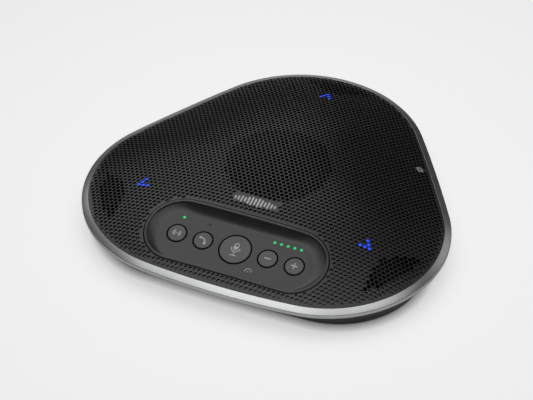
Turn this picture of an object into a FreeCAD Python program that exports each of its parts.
import FreeCAD, Part
import math
import os

from FreeCAD import Vector

# Table-top conference speakerphone, in millimetres.
# Origin: bottom centre of the whole object. +X right and -Y towards the user at
# the control panel, +Z up. The feet stand on z = 0.

# ---- Driving dimensions: the body -------------------------------------------
RIM_TOP_Z = 22.1            # inner top edge of the silver rim
RIM_RIDGE_Z = 20.1          # widest line of the rim
RIM_BOTTOM_Z = 17.3         # seam between rim and bottom case
RIM_WIDTH = 4.63            # rim seen from above
RIM_LEDGE_WIDTH = 7.0       # rim plus the ledge that carries the grille
RIM_LEDGE_Z = 18.9
DOME_RISE = 20.7            # grille apex above the rim's top edge
DOME_POWER = 2.0            # flatness of the dome: 2 is a paraboloid
DOME_CENTRE_Y = -8.0        # apex, and centre of the speaker
GRILLE_WALL = 1.6
GRILLE_SKIRT = 2.0
SEAM = 0.12                 # gap between fixed covers
CASE_WALL = 2.0
CASE_FLOOR_Z = 1.2          # underside of the floor
CASE_SEAM_INSET = 3.0       # case top edge, inside the rim's widest line

# ---- Driving dimensions: the control panel ----------------------------------
PANEL_HALF_LENGTH = 62.65
PANEL_BACK_Y = -57.9
PANEL_FRONT_Y = -103.3
PANEL_GROOVE = 0.45         # dark line between grille and panel
PANEL_LIP = 1.3
PANEL_TILT = math.radians(16.0)
PANEL_ORIGIN = Vector(0, -81.5, 27.6)   # middle of the mute button's seat
DISH_HALF_LENGTH = 55.5     # flat floor of the dish
DISH_BACK_Y = -67.8
DISH_FRONT_Y = -100.3
PANEL_FLOOR = 2.0           # thickness under the dish
BUTTON_TRAVEL = 0.5
BUTTONS = {                 # name: (x, cap radius, hole radius)
    "wireless": (-40.85, 6.05, 7.0),
    "call": (-22.5, 6.05, 7.0),
    "mute": (0.0, 10.2, 11.15),
    "volume_down": (22.5, 6.05, 7.0),
    "volume_up": (40.85, 6.05, 7.0),
}
LIGHT_RADIUS = 0.95
LIGHT_V = 12.7              # lights above the button row, along the panel
VOLUME_LIGHTS = 5

# ---- Driving dimensions: what is inside -------------------------------------
HOLE_PITCH = 3.19           # lattice of the grille's holes
ARROW_TIP = 92.0            # arrow tip from the centre
ARROW_AIM = {"front_right": -30.0, "front_left": 210.0, "rear": 90.0}
CORNER_ANGLES = {"front_right": -28.6, "front_left": 208.6, "rear": 90.0}
MIC_DISTANCE = {"front_right": 112.0, "front_left": 112.0, "rear": 103.6}
CHASSIS_Z = 13.0            # underside of the inner chassis plate
CHASSIS_PLATE = 2.0
SPEAKER_FLANGE_Z = 34.4     # top of the speaker's mounting flange
CASE_SCREWS = [(78, -66), (-78, -66), (62, 18), (-62, 18), (46, 73), (-46, 73)]
FEET = [(60, -84), (-60, -84), (0, 84)]
FOOT_RADIUS = 7.5
PORT_WALL_Y = 102.0         # outer face of the recessed socket wall
PORT_HALF_WIDTH = 27.5

UP = Vector(0, 0, 1)
PANEL_NORMAL = Vector(0, -math.sin(PANEL_TILT), math.cos(PANEL_TILT))
PANEL_ALONG = Vector(0, math.cos(PANEL_TILT), math.sin(PANEL_TILT))

os.makedirs("parts", exist_ok=True)
built = {}


def save(name, shape):
    """Write one node, one piece or several alike, and report it."""
    solids = shape.removeSplitter().Solids
    shape = solids[0] if len(solids) == 1 else Part.Compound(solids)
    shape.exportStep("parts/" + name + ".step")
    box = shape.optimalBoundingBox()
    print("%-28s solids %2d  volume %8.1f  valid %s  z %.2f to %.2f" % (
        name, len(solids), shape.Volume, shape.isValid(), box.ZMin, box.ZMax))
    built[name] = shape


# ---- The rounded triangle that every horizontal section follows -------------
class Outline:
    """Two front corners, one back corner and three long arcs, all tangent."""

    def __init__(self, corner_x, corner_y, corner_r, back_y, back_r, front_r, side_r):
        self.values = (corner_x, corner_y, corner_r, back_y, back_r, front_r, side_r)
        corner = Vector(corner_x, corner_y, 0)
        back = Vector(0, back_y, 0)
        rise = math.sqrt((front_r - corner_r) ** 2 - corner_x ** 2)
        front = Vector(0, corner_y + rise, 0)
        gap = back - corner
        from_corner, from_back = side_r - corner_r, side_r - back_r
        along = (gap.Length ** 2 + from_corner ** 2 - from_back ** 2) / (2 * gap.Length)
        away = math.sqrt(from_corner ** 2 - along ** 2)
        unit = gap * (1 / gap.Length)
        side = corner + unit * along + Vector(-unit.y, unit.x, 0) * away
        right = [(front, front_r), (corner, corner_r), (side, side_r), (back, back_r)]
        left = [(mirror(c), r) for c, r in (right[2], right[1])]
        self.circles = right + left
        self.joints = []
        for i, (centre, radius) in enumerate(self.circles):
            following, other = self.circles[(i + 1) % len(self.circles)]
            if radius > other:
                toward = (following - centre).normalize()
                self.joints.append(centre + toward * radius)
            else:
                toward = (centre - following).normalize()
                self.joints.append(following + toward * other)

    def inset(self, distance):
        x, y, r, back_y, back_r, front_r, side_r = self.values
        return Outline(x, y, r - distance, back_y, back_r - distance,
                       front_r - distance, side_r - distance)

    def towards(self, other, share):
        mixed = [a + (b - a) * share for a, b in zip(self.values, other.values)]
        return Outline(*mixed)

    def wire(self, z):
        lift = Vector(0, 0, z)
        edges = []
        for i, (centre, radius) in enumerate(self.circles):
            start, end = self.joints[i - 1], self.joints[i]
            chord_middle = (start + end) * 0.5
            middle = centre + (chord_middle - centre).normalize() * radius
            edges.append(Part.Arc(start + lift, middle + lift, end + lift).toShape())
        return Part.Wire(edges)

    def reach(self, origin, angle):
        """Distance from origin to the outline along a direction."""
        ray = Vector(math.cos(angle), math.sin(angle), 0)
        best = None
        for i, (centre, radius) in enumerate(self.circles):
            offset = origin - centre
            b = offset.dot(ray)
            root = b * b - offset.dot(offset) + radius * radius
            if root < 0:
                continue
            distance = -b + math.sqrt(root)
            hit = (origin + ray * distance - centre).normalize()
            start = (self.joints[i - 1] - centre).normalize()
            end = (self.joints[i] - centre).normalize()
            middle = (start + end).normalize()
            error = hit.dot(middle) - start.dot(middle)
            if best is None or error > best[0]:
                best = (error, distance)
            if error >= 0:
                return distance
        return best[1]


def mirror(point):
    return Vector(-point.x, point.y, point.z)


RIM = Outline(corner_x=43.67, corner_y=-32.17, corner_r=81.34, back_y=30.48, back_r=85.22,
              front_r=518.88, side_r=1157.52)
BASE = Outline(corner_x=54.65, corner_y=-40.5, corner_r=59.0, back_y=44.2, back_r=62.5,
               front_r=1417.0, side_r=2500.0)
RIM_INNER = RIM.inset(RIM_WIDTH)
CASE_TOP = RIM.inset(CASE_SEAM_INSET)
CENTRE = Vector(0, DOME_CENTRE_Y, 0)
ABOVE = 60.0                # a level over the whole object
BEHIND = 130.0              # a plane behind the whole object


# ---- Shape helpers ----------------------------------------------------------
def slab(outline, z0, z1):
    return Part.Face(outline.wire(z0)).extrude(Vector(0, 0, z1 - z0))


def loft(levels):
    """Solid through (outline, z) sections with straight sides."""
    return Part.makeLoft([outline.wire(z) for outline, z in levels], True, True)


def box(x0, x1, y0, y1, z0, z1):
    return Part.makeBox(x1 - x0, y1 - y0, z1 - z0, Vector(x0, y0, z0))


def rod(radius, z0, z1, x=0, y=0):
    return Part.makeCylinder(radius, z1 - z0, Vector(x, y, z0), UP)


def ring(inner, outer, z0, z1, x=0, y=0):
    return rod(outer, z0, z1, x, y).cut(rod(inner, z0 - 1, z1 + 1, x, y))


def revolved(profile, x=0, y=0):
    """Solid of revolution about a vertical axis from (radius, z) points."""
    points = [Vector(x + r, y, z) for r, z in profile]
    face = Part.Face(Part.makePolygon(points + points[:1]))
    return face.revolve(Vector(x, y, 0), UP, 360)


def fuse(shapes):
    return shapes[0].multiFuse(shapes[1:]) if len(shapes) > 1 else shapes[0]


def dome_height(x, y):
    offset = Vector(x, y, 0) - CENTRE
    if offset.Length < 1e-9:
        return RIM_TOP_Z + DOME_RISE
    angle = math.atan2(offset.y, offset.x)
    share = offset.Length / RIM_INNER.reach(CENTRE, angle)
    return RIM_TOP_Z + DOME_RISE * (1 - share ** DOME_POWER)


def make_dome_face():
    step_x, step_y = 42, 40
    rows = []
    for i in range(step_x + 1):
        x = (i / step_x - 0.5) * 250.0
        row = []
        for j in range(step_y + 1):
            y = (j / step_y - 0.5) * 236.0
            row.append(Vector(x, y, dome_height(x, y)))
        rows.append(row)
    surface = Part.BSplineSurface()
    surface.interpolate(rows)
    return surface.toShape()


DOME_FACE = make_dome_face()


def under_dome(drop):
    """Everything below the dome surface lowered by drop."""
    face = DOME_FACE.copy()
    face.translate(Vector(0, 0, -drop))
    return face.extrude(Vector(0, 0, -70))


def panel_point(x, v, w):
    """Point on the tilted panel: x across, v up the slope, w off the dish floor."""
    return PANEL_ORIGIN + Vector(x, 0, 0) + PANEL_ALONG * v + PANEL_NORMAL * w


def panel_rod(radius, x, v, w0, w1):
    return Part.makeCylinder(radius, w1 - w0, panel_point(x, v, w0), PANEL_NORMAL)


def panel_block(x0, x1, v0, v1, w0, w1):
    corners = [panel_point(x, v, w0) for x, v in ((x0, v0), (x1, v0), (x1, v1), (x0, v1))]
    face = Part.Face(Part.makePolygon(corners + corners[:1]))
    return face.extrude(PANEL_NORMAL * (w1 - w0))


def slot_wire(half_length, y_front, y_back, place):
    """Rounded slot seen from above; place turns (x, y) into a point."""
    radius = (y_back - y_front) / 2
    middle = (y_back + y_front) / 2
    straight = half_length - radius
    right = [(straight, y_front), (half_length, middle), (straight, y_back)]
    left = [(-straight, y_back), (-half_length, middle), (-straight, y_front)]
    edges = [
        Part.Arc(*[place(x, y) for x, y in right]).toShape(),
        Part.LineSegment(place(*right[2]), place(*left[0])).toShape(),
        Part.Arc(*[place(x, y) for x, y in left]).toShape(),
        Part.LineSegment(place(*left[2]), place(*right[0])).toShape(),
    ]
    return Part.Wire(edges)


def slot_prism(inset, z0, z1):
    wire = slot_wire(PANEL_HALF_LENGTH - inset, PANEL_FRONT_Y + inset, PANEL_BACK_Y - inset,
                     lambda x, y: Vector(x, y, z0))
    return Part.Face(wire).extrude(Vector(0, 0, z1 - z0))


def lead(points, radius, bend):
    """Round wire along straight runs joined by tangent arcs."""
    points = [Vector(*p) for p in points]
    edges = []
    start = points[0]
    for before, corner, after in zip(points, points[1:], points[2:]):
        back = (before - corner).normalize()
        on = (after - corner).normalize()
        half = back.getAngle(on) / 2
        cut = bend / math.tan(half)
        first, last = corner + back * cut, corner + on * cut
        centre = corner + (back + on).normalize() * (bend / math.sin(half))
        middle = centre + (corner - centre).normalize() * bend
        edges.append(Part.LineSegment(start, first).toShape())
        edges.append(Part.Arc(first, middle, last).toShape())
        start = last
    edges.append(Part.LineSegment(start, points[-1]).toShape())
    circle = Part.Wire(Part.makeCircle(radius, points[0], (points[1] - points[0]).normalize()))
    return Part.Wire(edges).makePipeShell([circle], True, True)


def corner_point(name, distance, sideways=0.0):
    """Plan position at a distance from the centre towards one of the corners."""
    angle = math.radians(CORNER_ANGLES[name])
    out = Vector(math.cos(angle), math.sin(angle), 0)
    side = Vector(-math.sin(angle), math.cos(angle), 0)
    return CENTRE + out * distance + side * sideways


def arrow_points(name):
    """Five lattice points: the tip, then two along each leg of the V."""
    tip = corner_point(name, ARROW_TIP)
    points = [tip]
    for turn in (150.0, 210.0):
        angle = math.radians(ARROW_AIM[name] + turn)
        for step in (1, 2):
            points.append(tip + Vector(math.cos(angle), math.sin(angle), 0) * HOLE_PITCH * step)
    return points


# ---- Bottom case ------------------------------------------------------------
CASE_LEVELS = [             # (share of the way from base to rim, inset, z)
    (0.0, 1.3, CASE_FLOOR_Z),
    (0.0, 0.3, 2.0),
    (0.03, 0.0, 3.4),
    (0.09, 0.0, 5.0),
    (0.17, 0.0, 6.6),
    (0.29, 0.0, 8.6),
    (0.44, 0.0, 10.6),
    (0.62, 0.0, 12.8),
    (0.80, 0.0, 15.0),
    (1.0, 0.0, RIM_BOTTOM_Z),
]


def case_section(z):
    """Outer outline of the bottom case at a height."""
    for (s0, i0, z0), (s1, i1, z1) in zip(CASE_LEVELS, CASE_LEVELS[1:]):
        if z <= z1:
            t = (z - z0) / (z1 - z0)
            return BASE.towards(CASE_TOP, s0 + (s1 - s0) * t).inset(i0 + (i1 - i0) * t)
    return CASE_TOP


FLOOR_TOP = CASE_FLOOR_Z + CASE_WALL
SCREW_HOLE_R = 1.6
SCREW_WELL_R = 2.9
SCREW_BOSS_R = 5.0
BOARD_BOSS_R = 3.0
BOARD_THREAD_R = 1.22
BOSS_TOP = FLOOR_TOP + 2.0
BOARD_Z = 6.5               # underside of the main board
BOARD_THICK = 1.6
BOARD_SCREWS = [(-40, 46), (40, 46), (-28, 90), (28, 90)]
RECESS_TOP = 15.4
RECESS_BOTTOM = 3.2
HEAT_SLOTS = 7
HEAT_SLOT = (-16, 16, 44, 1.6)      # x from, x to, first y, width
HEAT_SLOT_STEP = 4.0


def make_bottom_case():
    outer = loft([(case_section(z), z) for _, _, z in CASE_LEVELS])
    inner_z = [FLOOR_TOP] + [z for _, _, z in CASE_LEVELS if z > FLOOR_TOP + 1]
    cavity = loft([(case_section(z).inset(CASE_WALL), z) for z in inner_z])
    cavity = cavity.fuse(slab(case_section(RIM_BOTTOM_Z).inset(CASE_WALL), RIM_BOTTOM_Z,
                              RIM_BOTTOM_Z + 1))
    shell = outer.cut(cavity)
    pod = box(-PORT_HALF_WIDTH - CASE_WALL, PORT_HALF_WIDTH + CASE_WALL,
              PORT_WALL_Y - CASE_WALL, BEHIND, CASE_FLOOR_Z, RIM_BOTTOM_Z)
    shell = shell.fuse(pod.common(outer))
    adds = []
    for x, y in CASE_SCREWS:
        adds.append(rod(SCREW_BOSS_R, FLOOR_TOP - 0.5, BOSS_TOP, x, y))
    for x, y in BOARD_SCREWS:
        adds.append(rod(BOARD_BOSS_R, FLOOR_TOP - 0.5, BOARD_Z, x, y))
    shell = shell.multiFuse(adds)
    cuts = [box(-PORT_HALF_WIDTH, PORT_HALF_WIDTH, PORT_WALL_Y, BEHIND,
                RECESS_BOTTOM, RECESS_TOP)]
    for x, y in CASE_SCREWS:
        cuts.append(rod(SCREW_WELL_R, 0, FLOOR_TOP + 0.2, x, y))
        cuts.append(rod(SCREW_HOLE_R, 0, BOSS_TOP + 1, x, y))
    for x, y in BOARD_SCREWS:
        cuts.append(rod(BOARD_THREAD_R, FLOOR_TOP, BOARD_Z + 1, x, y))
    for x, y in FEET:
        cuts.append(rod(FOOT_RADIUS + 0.1, 0, 2.0, x, y))
    cuts += port_cutters()
    x0, x1, first_y, width = HEAT_SLOT
    for row in range(HEAT_SLOTS):
        y = first_y + row * HEAT_SLOT_STEP
        cuts.append(box(x0, x1, y, y + width, 0, FLOOR_TOP + 0.5))
    return shell.cut(fuse(cuts))


# ---- Sockets on the back edge of the main board -----------------------------
BOARD_TOP = BOARD_Z + BOARD_THICK
USB_X, DC_X, JACK_XS = -8.0, -19.0, (8.0, 17.0)
USB_Z = BOARD_TOP + 1.63
JACK_Z = BOARD_TOP + 2.5
DC_Z = BOARD_TOP + 3.4
JACK_BORE_R = 1.8
DC_BORE_R = 2.75
DC_PIN_R = 1.05


def back_rod(radius, x, z, y0, y1):
    return Part.makeCylinder(radius, y1 - y0, Vector(x, y0, z), Vector(0, 1, 0))


def back_slot(half_width, half_height, x, z, y0, y1):
    """Slot with round ends, running along Y."""
    flat = half_width - half_height
    middle = box(x - flat, x + flat, y0, y1, z - half_height, z + half_height)
    ends = [back_rod(half_height, x + s * flat, z, y0, y1) for s in (-1, 1)]
    return middle.multiFuse(ends)


def port_cutters():
    """Openings in the socket wall: a slot and three round holes."""
    y0, y1 = PORT_WALL_Y - 3, PORT_WALL_Y + 1
    cutters = [back_slot(5.0, 2.1, USB_X, USB_Z, y0, y1)]
    cutters += [back_rod(2.9, x, JACK_Z, y0, y1) for x in JACK_XS]
    cutters.append(back_rod(3.6, DC_X, DC_Z, y0, y1))
    return cutters


def make_usb_socket():
    shell = back_slot(4.47, 1.58, USB_X, USB_Z, PORT_WALL_Y - 9.2, PORT_WALL_Y - 1.6)
    mouth = back_slot(4.17, 1.28, USB_X, USB_Z, PORT_WALL_Y - 8.4, PORT_WALL_Y)
    tongue = box(USB_X - 3.35, USB_X + 3.35, PORT_WALL_Y - 8.6, PORT_WALL_Y - 2.6,
                 USB_Z - 0.35, USB_Z + 0.35)
    return shell.cut(mouth).fuse(tongue)


def make_jack(x):
    """Audio jack: a block on the board with a collar that fills the wall's hole."""
    block = box(x - 3.0, x + 3.0, PORT_WALL_Y - 14, PORT_WALL_Y - 2.1, BOARD_TOP, JACK_Z + 2.4)
    collar = back_rod(2.8, x, JACK_Z, PORT_WALL_Y - 2.3, PORT_WALL_Y)
    mouth = back_rod(JACK_BORE_R, x, JACK_Z, PORT_WALL_Y - 13, PORT_WALL_Y + 1)
    return block.fuse(collar).cut(mouth)


def make_dc_inlet():
    block = box(DC_X - 4.4, DC_X + 4.4, PORT_WALL_Y - 13, PORT_WALL_Y - 2.1,
                BOARD_TOP, DC_Z + 4.2)
    collar = back_rod(3.5, DC_X, DC_Z, PORT_WALL_Y - 2.3, PORT_WALL_Y)
    mouth = back_rod(DC_BORE_R, DC_X, DC_Z, PORT_WALL_Y - 11, PORT_WALL_Y + 1)
    pin = back_rod(DC_PIN_R, DC_X, DC_Z, PORT_WALL_Y - 11.5, PORT_WALL_Y - 1.2)
    return block.fuse(collar).cut(mouth).fuse(pin)


# ---- Covers -----------------------------------------------------------------
def make_rim_ring():
    outer = loft([
        (RIM.inset(0.35), RIM_BOTTOM_Z),
        (RIM, RIM_BOTTOM_Z + 0.4),
        (RIM, RIM_RIDGE_Z - 0.3),
        (RIM.inset(0.4), RIM_RIDGE_Z + 0.12),
        (RIM_INNER, RIM_TOP_Z),
    ])
    outer = outer.cut(slab(RIM_INNER, RIM_LEDGE_Z, RIM_TOP_Z + 1))
    return outer.cut(slab(RIM.inset(RIM_LEDGE_WIDTH), RIM_BOTTOM_Z - 1, RIM_LEDGE_Z + 1))


def make_top_grille():
    plan = RIM_INNER.inset(SEAM)
    outer = under_dome(0).common(slab(plan, RIM_LEDGE_Z, ABOVE))
    hollow = under_dome(GRILLE_WALL).common(slab(plan.inset(GRILLE_SKIRT), 0, ABOVE))
    return outer.cut(hollow).cut(slot_prism(-PANEL_GROOVE, 0, ABOVE))


def dish_place(lift):
    """Plan point raised to the dish floor's plane plus a height off it."""
    def place(x, y):
        v = (y - PANEL_ORIGIN.y) / math.cos(PANEL_TILT)
        return panel_point(x, v, lift)
    return place


def make_control_panel():
    """Insert with a raised lip, a dish with coved sides, and holes."""
    body = slot_prism(0, 0, ABOVE).common(under_dome(-0.3))
    back = (PANEL_BACK_Y - PANEL_ORIGIN.y) / math.cos(PANEL_TILT) + 4
    front = (PANEL_FRONT_Y - PANEL_ORIGIN.y) / math.cos(PANEL_TILT) - 4
    body = body.common(panel_block(-70, 70, front, back, -PANEL_FLOOR, 30))
    edge = (PANEL_HALF_LENGTH - PANEL_LIP, PANEL_FRONT_Y + PANEL_LIP, PANEL_BACK_Y - PANEL_LIP)
    foot = (DISH_HALF_LENGTH, DISH_FRONT_Y, DISH_BACK_Y)
    wires = []
    for share, lift in ((0.0, 0.0), (0.28, 0.45), (0.58, 1.6), (0.85, 3.1), (1.0, 4.4)):
        size = [f + (e - f) * share for f, e in zip(foot, edge)]
        wires.append(slot_wire(size[0], size[1], size[2], dish_place(lift)))
    wires.append(slot_wire(edge[0], edge[1], edge[2], dish_place(12.0)))
    body = body.cut(Part.makeLoft(wires, True, True))
    cuts = [panel_rod(hole, x, 0, -10, 10) for x, _, hole in BUTTONS.values()]
    for x in light_positions():
        cuts.append(panel_rod(LIGHT_RADIUS + 0.05, x, LIGHT_V, -10, 10))
    posts = []
    for x, v in BOARD_POSTS:
        posts.append(panel_rod(2.4, x, v, -CONTROL_BOARD_W, -PANEL_FLOOR + 0.5))
        cuts.append(panel_rod(0.95, x, v, -CONTROL_BOARD_W - 1, -PANEL_FLOOR + 0.2))
    return body.multiFuse(posts).cut(fuse(cuts))


def light_positions():
    volume = [BUTTONS["volume_down"][0], BUTTONS["volume_up"][0]]
    step = (volume[1] - volume[0]) / (VOLUME_LIGHTS - 1)
    row = [volume[0] + step * i for i in range(VOLUME_LIGHTS)]
    return [BUTTONS["wireless"][0], BUTTONS["call"][0]] + row


# ---- Buttons and the control board ------------------------------------------
CONTROL_BOARD_W = 7.2       # top of the control board below the dish floor
CONTROL_BOARD_THICK = 1.2
BOARD_POSTS = [(-54.5, 2), (-11.0, 11.5), (11.0, 11.5), (54.5, 2)]
CAP_TOP = 0.25              # cap face above the dish floor
CAP_SKIRT = 3.1             # cap's side below the dish floor
CAP_EASE = 0.45             # rounding of the cap's edge
CAP_WALL = 1.4
CAP_FLANGE = 0.9            # retaining flange: its width and its thickness
STEM_R = 1.8
FLANGE_GAP = 0.12
SWITCH_HEIGHT = 3.0
PLUNGER_R = 1.4
LED_HEIGHT = 0.8
STEM_END = -CONTROL_BOARD_W + SWITCH_HEIGHT + BUTTON_TRAVEL + 0.3


def make_button(x, cap_r, hole_r):
    """Cap with an eased edge, a retaining flange under the panel and a stem."""
    top = panel_rod(cap_r, x, 0, -CAP_SKIRT, CAP_TOP)
    rounded = []
    for edge in top.Edges:
        circle = edge.Curve
        on_top = abs((edge.CenterOfMass - panel_point(x, 0, CAP_TOP)).dot(PANEL_NORMAL)) < 0.01
        if hasattr(circle, "Radius") and edge.Closed and on_top:
            rounded.append(edge)
    top = top.makeFillet(CAP_EASE, rounded)
    under = -PANEL_FLOOR - FLANGE_GAP
    flange = panel_rod(hole_r + CAP_FLANGE, x, 0, under - CAP_FLANGE, under)
    hollow = panel_rod(cap_r - CAP_WALL, x, 0, -CAP_SKIRT - CAP_FLANGE, -CAP_WALL)
    stem = panel_rod(STEM_R, x, 0, STEM_END, -CAP_WALL + 0.4)
    return top.fuse(flange).cut(hollow).fuse(stem)


def make_switch(x):
    """Tact switch body with a hole for its plunger."""
    base = -CONTROL_BOARD_W
    body = panel_block(x - 3, x + 3, -3, 3, base, base + SWITCH_HEIGHT)
    return body.cut(panel_rod(PLUNGER_R + 0.3, x, 0, base + 0.8, base + SWITCH_HEIGHT + 1))


def make_plunger(x):
    base = -CONTROL_BOARD_W + 0.8 + BUTTON_TRAVEL + 0.3
    return panel_rod(PLUNGER_R, x, 0, base, STEM_END)


def make_control_board():
    board = panel_block(-58, 58, -9, 15.5, -CONTROL_BOARD_W - CONTROL_BOARD_THICK,
                        -CONTROL_BOARD_W)
    holes = [panel_rod(1.1, x, v, -12, 0) for x, v in BOARD_POSTS]
    return board.cut(fuse(holes))


def panel_screws():
    screws = []
    low = -CONTROL_BOARD_W - CONTROL_BOARD_THICK
    for x, v in BOARD_POSTS:
        head = panel_rod(1.9, x, v, low - 1.2, low)
        screws.append(head.fuse(panel_rod(0.92, x, v, low, -PANEL_FLOOR - 0.4)))
    return screws


def make_lens(x, end):
    return panel_rod(LIGHT_RADIUS, x, LIGHT_V, end, 0.08)


def make_volume_guide(xs, low):
    """Five light posts joined by a bar behind the panel."""
    posts = [make_lens(x, low) for x in xs]
    bar = panel_block(xs[0] - 1.5, xs[-1] + 1.5, LIGHT_V - 1.2, LIGHT_V + 1.2,
                      -PANEL_FLOOR - 2.2, -PANEL_FLOOR - 0.6)
    return fuse(posts + [bar])


def make_led(x):
    top = -CONTROL_BOARD_W + LED_HEIGHT
    return panel_block(x - 0.8, x + 0.8, LIGHT_V - 0.6, LIGHT_V + 0.6, -CONTROL_BOARD_W, top)


# ---- Inner chassis ----------------------------------------------------------
FLANGE_THICK = 1.2
TOWER_TOP = SPEAKER_FLANGE_Z - FLANGE_THICK
TOWER_RADII = (35.5, 38.0)
EAR_RADIUS = 40.0
EAR_ANGLES = (45, 135, 225, 315)
PLATE_TOP = CHASSIS_Z + CHASSIS_PLATE
BOOT_RADIUS = 4.5
BOOT_HEIGHT = 5.0
MIC_CLOTH_R = {"front_right": 11.0, "front_left": 11.0, "rear": 7.0}
ARROW_BOARD_DROP = 7.0      # arrow board top below the grille's underside
ARROW_BOARD_SETBACK = 4.0   # its middle from the arrow's tip
ARROW_POSTS = (-5.5, 5.5)   # two posts under each arrow board
ARROW_POST_R = 0.95         # light post behind a hole
MIC_POST_R = 4.0
CHASSIS_CUTOUTS = [         # x from, x to, y from, y to, height over the plate
    (-32, 32, PORT_WALL_Y - 2.5, BEHIND, 5),    # socket wall
    (-24.5, -13.5, 86, 110, 1),                 # room over the DC inlet
    (4.8, 21, 86, 110, 1),                      # room over the jacks
    (-6, 6, 26, 45, 1.5),                       # speaker leads
    (-9, 9, 44, 53, 1.5),                       # cables to the board
    (23, 30, 77, 85, 1),                        # rear microphone's cable
    (-9, 9, -60.5, -56.5, 1),                   # ribbon cable
]


def ear_positions():
    return [CENTRE + Vector(math.cos(math.radians(a)), math.sin(math.radians(a)), 0)
            * EAR_RADIUS for a in EAR_ANGLES]


def boot_top(name):
    """Highest level at which a flat boot clears the grille and its cloth."""
    centre = corner_point(name, MIC_DISTANCE[name])
    outward = corner_point(name, MIC_DISTANCE[name] + BOOT_RADIUS)
    return min(dome_height(centre.x, centre.y), dome_height(outward.x, outward.y)) - 2.6


def arrow_level(name):
    """Underside of the grille over an arrow's tip, its lowest point."""
    tip = arrow_points(name)[0]
    return dome_height(tip.x, tip.y) - GRILLE_WALL


def make_inner_chassis():
    plate = slab(case_section(CHASSIS_Z).inset(CASE_WALL + 0.5), CHASSIS_Z, PLATE_TOP)
    adds = [rod(TOWER_RADII[1], CHASSIS_Z, TOWER_TOP, 0, DOME_CENTRE_Y)]
    cuts = [rod(TOWER_RADII[0], 0, ABOVE, 0, DOME_CENTRE_Y)]
    for spot in ear_positions():
        adds.append(rod(4.0, CHASSIS_Z, TOWER_TOP, spot.x, spot.y))
        cuts.append(rod(1.25, TOWER_TOP - 9, TOWER_TOP + 1, spot.x, spot.y))
    for x, y in CASE_SCREWS:
        adds.append(rod(3.8, BOSS_TOP, PLATE_TOP, x, y))
        cuts.append(rod(1.27, BOSS_TOP - 1, PLATE_TOP - 1.2, x, y))
    for name in CORNER_ANGLES:
        spot = corner_point(name, MIC_DISTANCE[name])
        adds.append(rod(MIC_POST_R, CHASSIS_Z, boot_top(name) - BOOT_HEIGHT, spot.x, spot.y))
        level = arrow_level(name) - ARROW_BOARD_DROP - 1.0
        for side in ARROW_POSTS:
            post = corner_point(name, ARROW_TIP - ARROW_BOARD_SETBACK, side)
            adds.append(rod(1.8, CHASSIS_Z, level, post.x, post.y))
    for x0, x1, y0, y1, height in CHASSIS_CUTOUTS:
        cuts.append(box(x0, x1, y0, y1, 0, PLATE_TOP + height))
    return plate.multiFuse(adds).cut(fuse(cuts))


# ---- Speaker ----------------------------------------------------------------
BASKET_FOOT_Z = 15.8
FRONT_PLATE_Z = 12.8
MAGNET_Z = 7.3
BACK_PLATE_Z = 4.8
POLE_R = 12.0
COIL_R = (12.4, 13.0)
COIL_TOP = 20.0
CONE_LIP_Z = SPEAKER_FLANGE_Z


def make_basket():
    top, low = SPEAKER_FLANGE_Z, TOWER_TOP
    profile = [
        (38.0, low), (38.0, top), (31.8, top), (31.8, 27.4), (24.6, 18.5), (21.0, 18.5),
        (21.0, 17.5), (23.0, 17.5), (23.0, BASKET_FOOT_Z), (24.0, BASKET_FOOT_Z),
        (24.0, 17.3), (25.1, 17.3), (32.8, 27.0), (32.8, low),
    ]
    body = revolved(profile, 0, DOME_CENTRE_Y)
    ears = [rod(4.0, low, top, spot.x, spot.y) for spot in ear_positions()]
    body = body.multiFuse(ears)
    cuts = [rod(1.6, low - 1, top + 1, spot.x, spot.y) for spot in ear_positions()]
    cuts.append(rod(31.8, low - 1, top + 1, 0, DOME_CENTRE_Y))
    for i in range(4):
        window = box(-9.5, 9.5, 20, 45, 20.0, 29.5)
        window.rotate(Vector(0, 0, 0), UP, 90 * i)
        window.translate(CENTRE)
        cuts.append(window)
    return body.cut(fuse(cuts))


def make_cone():
    lip = CONE_LIP_Z - 0.5
    profile = [
        (COIL_R[0], COIL_TOP), (COIL_R[1] + 0.5, COIL_TOP), (28.6, lip), (31.0, lip),
        (31.0, CONE_LIP_Z), (28.1, CONE_LIP_Z), (13.3, COIL_TOP + 0.9),
        (COIL_R[0], COIL_TOP + 0.9),
    ]
    return revolved(profile, 0, DOME_CENTRE_Y)


def make_dust_cap():
    """Shallow dome glued over the coil, 0.4 thick."""
    foot = COIL_TOP + 0.9
    centre_z = foot - 14.0
    radius = math.hypot(13.0, 14.0)
    outer = Part.makeSphere(radius, Vector(0, DOME_CENTRE_Y, centre_z))
    inner = Part.makeSphere(radius - 0.4, Vector(0, DOME_CENTRE_Y, centre_z))
    keep = rod(40, foot, foot + 20, 0, DOME_CENTRE_Y)
    return outer.cut(inner).common(keep)


def arc_band(r0, r1, z, rise, thick):
    """Half-roll ring between two radii, standing up from a level."""
    middle = (r0 + r1) / 2
    y = DOME_CENTRE_Y
    outer = Part.Wire([
        Part.Arc(Vector(r0, y, z), Vector(middle, y, z + rise), Vector(r1, y, z)).toShape(),
        Part.LineSegment(Vector(r1, y, z), Vector(r1 - thick, y, z)).toShape(),
        Part.Arc(Vector(r1 - thick, y, z), Vector(middle, y, z + rise - thick),
                 Vector(r0 + thick, y, z)).toShape(),
        Part.LineSegment(Vector(r0 + thick, y, z), Vector(r0, y, z)).toShape(),
    ])
    return Part.Face(outer).revolve(CENTRE, UP, 360)


def make_surround():
    z = CONE_LIP_Z
    y = DOME_CENTRE_Y
    parts = [
        ring(28.9, 31.1, z, z + 0.4, 0, y),
        arc_band(30.7, 34.3, z, 1.9, 0.4),
        ring(33.9, 36.4, z, z + 0.4, 0, y),
    ]
    return fuse(parts)


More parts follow.
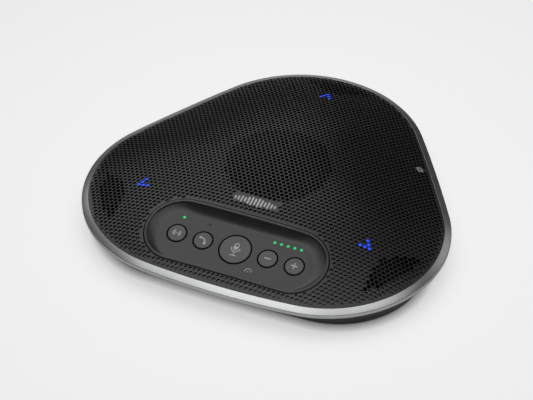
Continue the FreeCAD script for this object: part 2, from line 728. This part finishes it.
def make_spider():
    """Corrugated cloth disc that centres the coil."""
    z, thick = 18.5, 0.3
    waves, inner, outer = 3, COIL_R[1] + 0.12, 24.3
    flat = 21.3
    step = (flat - inner) / (2 * waves)
    top, bottom = [], []
    for i in range(2 * waves + 1):
        radius = inner + i * step
        height = 0.0 if i % 2 == 0 else 0.8
        top.append((radius, z + thick + height))
        bottom.append((radius, z + height))
    profile = bottom + [(outer, z), (outer, z + thick)] + top[::-1]
    return revolved(profile, 0, DOME_CENTRE_Y)


def make_back_plate():
    y = DOME_CENTRE_Y
    plate = rod(24.0, BACK_PLATE_Z, MAGNET_Z, 0, y)
    pole = rod(POLE_R, MAGNET_Z - 0.5, 16.4, 0, y)
    return plate.fuse(pole).cut(rod(3.0, 0, 30, 0, y))


def make_gasket():
    top = GRILLE_WALL + 0.45
    band = ring(34.7, 37.6, CONE_LIP_Z + 0.4, ABOVE, 0, DOME_CENTRE_Y)
    holes = [rod(3.0, 0, ABOVE, spot.x, spot.y) for spot in ear_positions()]
    return band.common(under_dome(top)).cut(fuse(holes))


def speaker_screws():
    screws = []
    for spot in ear_positions():
        head = rod(2.4, CONE_LIP_Z, CONE_LIP_Z + 1.5, spot.x, spot.y)
        shank = rod(1.22, TOWER_TOP - 7.5, CONE_LIP_Z, spot.x, spot.y)
        screws.append(head.fuse(shank))
    return screws


# ---- Cloths, microphones and arrow lights -----------------------------------
def cloth(x, y, radius):
    top, bottom = GRILLE_WALL + 0.02, GRILLE_WALL + 0.4
    disc = rod(radius, 0, ABOVE, x, y)
    return disc.common(under_dome(top)).cut(under_dome(bottom))


def make_boot(name):
    spot = corner_point(name, MIC_DISTANCE[name])
    top = boot_top(name)
    body = rod(BOOT_RADIUS, top - BOOT_HEIGHT, top, spot.x, spot.y)
    body = body.cut(rod(3.0, top - 3.4, top - 0.8, spot.x, spot.y))
    return body.cut(rod(1.2, top - 1.0, top + 1, spot.x, spot.y))


def make_capsule(name):
    spot = corner_point(name, MIC_DISTANCE[name])
    top = boot_top(name)
    body = rod(2.98, top - 3.38, top - 0.82, spot.x, spot.y)
    return body.cut(rod(0.5, top - 1.6, top, spot.x, spot.y))


def make_arrow_guide(name):
    """V-shaped clear moulding: five posts on a common foot."""
    level = arrow_level(name)
    foot_top = level - 2.4
    posts = []
    for spot in arrow_points(name):
        posts.append(rod(ARROW_POST_R, foot_top - 0.5, ABOVE, spot.x, spot.y))
    posts = fuse(posts).common(under_dome(GRILLE_WALL + 0.05))
    tip, left, right = (arrow_points(name)[i] for i in (0, 2, 4))
    grow = 1.6
    middle = (tip + left + right) * (1 / 3)
    corners = [p + (p - middle).normalize() * grow * 1.6 + Vector(0, 0, foot_top - 1.6)
               for p in (tip, left, right)]
    foot = Part.Face(Part.makePolygon(corners + corners[:1])).extrude(Vector(0, 0, 1.6))
    return posts.fuse(foot)


def make_arrow_board(name):
    """Small board with one blue LED block, on two chassis posts."""
    level = arrow_level(name) - ARROW_BOARD_DROP
    angle = CORNER_ANGLES[name]
    distance = ARROW_TIP - ARROW_BOARD_SETBACK
    board = box(-6, 6, -8, 8, level - 1.0, level)
    led = box(-1.6, 1.6, -1.4, 1.4, level, level + 1.4)
    shape = board.fuse(led)
    shape.rotate(Vector(0, 0, 0), UP, angle)
    shape.translate(corner_point(name, distance))
    return shape


# ---- Main board -------------------------------------------------------------
ANTENNA_RADII = (5.2, 7.4)
ANTENNA_AT = (77.5, 36.5)


def make_main_board():
    points = [(-46, 42), (46, 42), (46, 62), (31, 93), (-31, 93), (-46, 62)]
    corners = [Vector(x, y, BOARD_Z) for x, y in points]
    board = Part.Face(Part.makePolygon(corners + corners[:1])).extrude(
        Vector(0, 0, BOARD_THICK))
    board = board.fuse(box(-24, 24, 90, PORT_WALL_Y - 2.4, BOARD_Z, BOARD_TOP))
    holes = [rod(1.4, 0, 20, x, y) for x, y in BOARD_SCREWS]
    return board.cut(fuse(holes))


def make_chips():
    z = BOARD_TOP
    return Part.Compound([
        box(-40, -30, 50, 60, z, z + 1.2),
        box(-26, -20, 47, 53, z, z + 1.0),
        box(24, 36, 52, 62, z, z + 1.4),
        rod(3.1, z, z + 4.4, -34, 67),
        rod(3.1, z, z + 4.4, 20, 68),
    ])


def make_shield_can():
    can = box(-13, 13, 55, 73, BOARD_TOP, BOARD_TOP + 2.6)
    return can.cut(box(-12.7, 12.7, 55.3, 72.7, BOARD_TOP - 1, BOARD_TOP + 2.3))


def case_screws():
    screws = []
    seat = FLOOR_TOP + 0.2
    for x, y in CASE_SCREWS:
        head = rod(2.7, seat - 1.5, seat, x, y)
        cross = box(x - 0.4, x + 0.4, y - 1.5, y + 1.5, seat - 2, seat - 0.7)
        cross = cross.fuse(box(x - 1.5, x + 1.5, y - 0.4, y + 0.4, seat - 2, seat - 0.7))
        shank = rod(1.25, seat, PLATE_TOP - 2.2, x, y)
        screws.append(head.cut(cross).fuse(shank))
    return screws


def board_screws():
    return [rod(2.2, BOARD_TOP, BOARD_TOP + 1.2, x, y).fuse(
        rod(1.2, FLOOR_TOP + 0.6, BOARD_TOP, x, y)) for x, y in BOARD_SCREWS]


def make_antenna():
    """Flat near-field coil glued under the grille at the right side."""
    inner, outer = ANTENNA_RADII
    outline = ring(inner, outer, 5, ABOVE, *ANTENNA_AT)
    return outline.common(under_dome(GRILLE_WALL + 0.05)).cut(under_dome(GRILLE_WALL + 0.45))


# ---- Cables -----------------------------------------------------------------
CABLE_Z = PLATE_TOP + 0.8
CABLE_BEND = 3.0


def strip(path, half_width, thick):
    """Flat cable along (y, z) points, each run at right angles to the last."""
    pieces = []
    for (y0, z0), (y1, z1) in zip(path, path[1:]):
        pieces.append(box(-half_width, half_width, min(y0, y1), max(y0, y1) + thick,
                          min(z0, z1), max(z0, z1) + thick))
    return fuse(pieces)


def make_ribbon_cable():
    """Flat cable from the control board, down and under the speaker, to the main board."""
    board_low = -CONTROL_BOARD_W - CONTROL_BOARD_THICK
    end = panel_point(0, 13.0, board_low)
    high, low = PLATE_TOP + 0.3, FLOOR_TOP + 0.3
    path = [(end.y, end.z - 1.4), (end.y, high), (-58.5, high), (-58.5, low), (39.8, low),
            (39.8, BOARD_TOP + 0.9), (43.0, BOARD_TOP + 0.9)]
    plug = panel_block(-8, 8, 11.6, 14.6, board_low - 2.2, board_low)
    socket = box(-8, 8, 42.6, 46.4, BOARD_TOP, BOARD_TOP + 2.2)
    return fuse([strip(path, 7, 0.3), plug, socket])


def make_speaker_leads():
    """Two leads from the foot of the basket, through the chassis, to the board."""
    z = (CHASSIS_Z + PLATE_TOP) / 2 + 0.3
    leads = []
    for x in (-3, 3):
        path = [(x, DOME_CENTRE_Y + 24.2, z), (x, 50, z), (x, 50, BOARD_TOP + 0.1)]
        leads.append(lead(path, 0.6, CABLE_BEND))
    return leads


def make_microphone_cables():
    """Screened leads from each boot along the chassis plate to the main board."""
    height = boot_top("front_right") - 3.5
    start = corner_point("front_right", MIC_DISTANCE["front_right"], BOOT_RADIUS + 0.8)
    front = [(start.x, start.y, height), (101.8, -52.0, CABLE_Z + 0.6), (88, -30, CABLE_Z),
             (60, 12, CABLE_Z), (24, 48.5, CABLE_Z), (6.8, 48.5, CABLE_Z),
             (6.8, 48.5, BOARD_TOP + 0.1)]
    rear_height = boot_top("rear") - 3.5
    rear = [(4.9, 95.6, rear_height), (14, 90, rear_height), (26, 82, CABLE_Z + 1.5),
            (26, 80, BOARD_TOP + 0.1)]
    runs = [front, [(-x, y, z) for x, y, z in front], rear]
    return [lead(run, 0.5, CABLE_BEND) for run in runs]


# ---- Build every node -------------------------------------------------------
def main():
    save("bottom_case", make_bottom_case())
    save("rim_ring", make_rim_ring())
    save("top_grille", make_top_grille())
    save("control_panel", make_control_panel())
    save("inner_chassis", make_inner_chassis())

    for name, (x, cap_r, hole_r) in BUTTONS.items():
        save(name + "_button", make_button(x, cap_r, hole_r))
        save(name + "_plunger", make_plunger(x))
    save("tact_switches", Part.Compound([make_switch(x) for x, _, _ in BUTTONS.values()]))
    save("control_board", make_control_board())
    save("panel_screws", Part.Compound(panel_screws()))

    lights = light_positions()
    lens_end = -CONTROL_BOARD_W + LED_HEIGHT + 0.3
    save("link_light_lens", make_lens(lights[0], lens_end))
    save("call_light_lens", make_lens(lights[1], lens_end))
    save("volume_light_guide", make_volume_guide(lights[2:], lens_end))
    save("panel_leds", Part.Compound([make_led(x) for x in lights]))

    for name in CORNER_ANGLES:
        save(name + "_microphone", make_capsule(name))
        save(name + "_microphone_boot", make_boot(name))
        save(name + "_arrow_guide", make_arrow_guide(name))
        save(name + "_arrow_board", make_arrow_board(name))
    spots = [(corner_point(n, MIC_DISTANCE[n]), MIC_CLOTH_R[n]) for n in CORNER_ANGLES]
    save("microphone_cloths", Part.Compound([cloth(p.x, p.y, r) for p, r in spots]))

    y = DOME_CENTRE_Y
    save("speaker_cloth", cloth(0, y, 38.5))
    save("speaker_gasket", make_gasket())
    save("speaker_basket", make_basket())
    save("speaker_front_plate", ring(13.4, 24.0, FRONT_PLATE_Z, BASKET_FOOT_Z, 0, y))
    save("speaker_magnet", ring(15.5, 26.0, MAGNET_Z, FRONT_PLATE_Z, 0, y))
    save("speaker_back_plate", make_back_plate())
    save("voice_coil", ring(COIL_R[0], COIL_R[1], 9.5, COIL_TOP, 0, y))
    save("speaker_cone", make_cone())
    save("dust_cap", make_dust_cap())
    save("surround", make_surround())
    save("spider", make_spider())
    save("speaker_screws", Part.Compound(speaker_screws()))

    save("main_board", make_main_board())
    save("board_chips", make_chips())
    save("shield_can", make_shield_can())
    save("usb_socket", make_usb_socket())
    save("dc_inlet", make_dc_inlet())
    save("audio_jacks", Part.Compound([make_jack(x) for x in JACK_XS]))
    save("near_field_antenna", make_antenna())
    save("ribbon_cable", make_ribbon_cable())
    save("speaker_leads", Part.Compound(make_speaker_leads()))
    save("microphone_cables", Part.Compound(make_microphone_cables()))

    save("case_screws", Part.Compound(case_screws()))
    save("board_screws", Part.Compound(board_screws()))
    save("rubber_feet", Part.Compound([rod(FOOT_RADIUS, 0, 2.0, fx, fy) for fx, fy in FEET]))
    print("nodes", len(built))


if __name__ == "__main__":
    main()
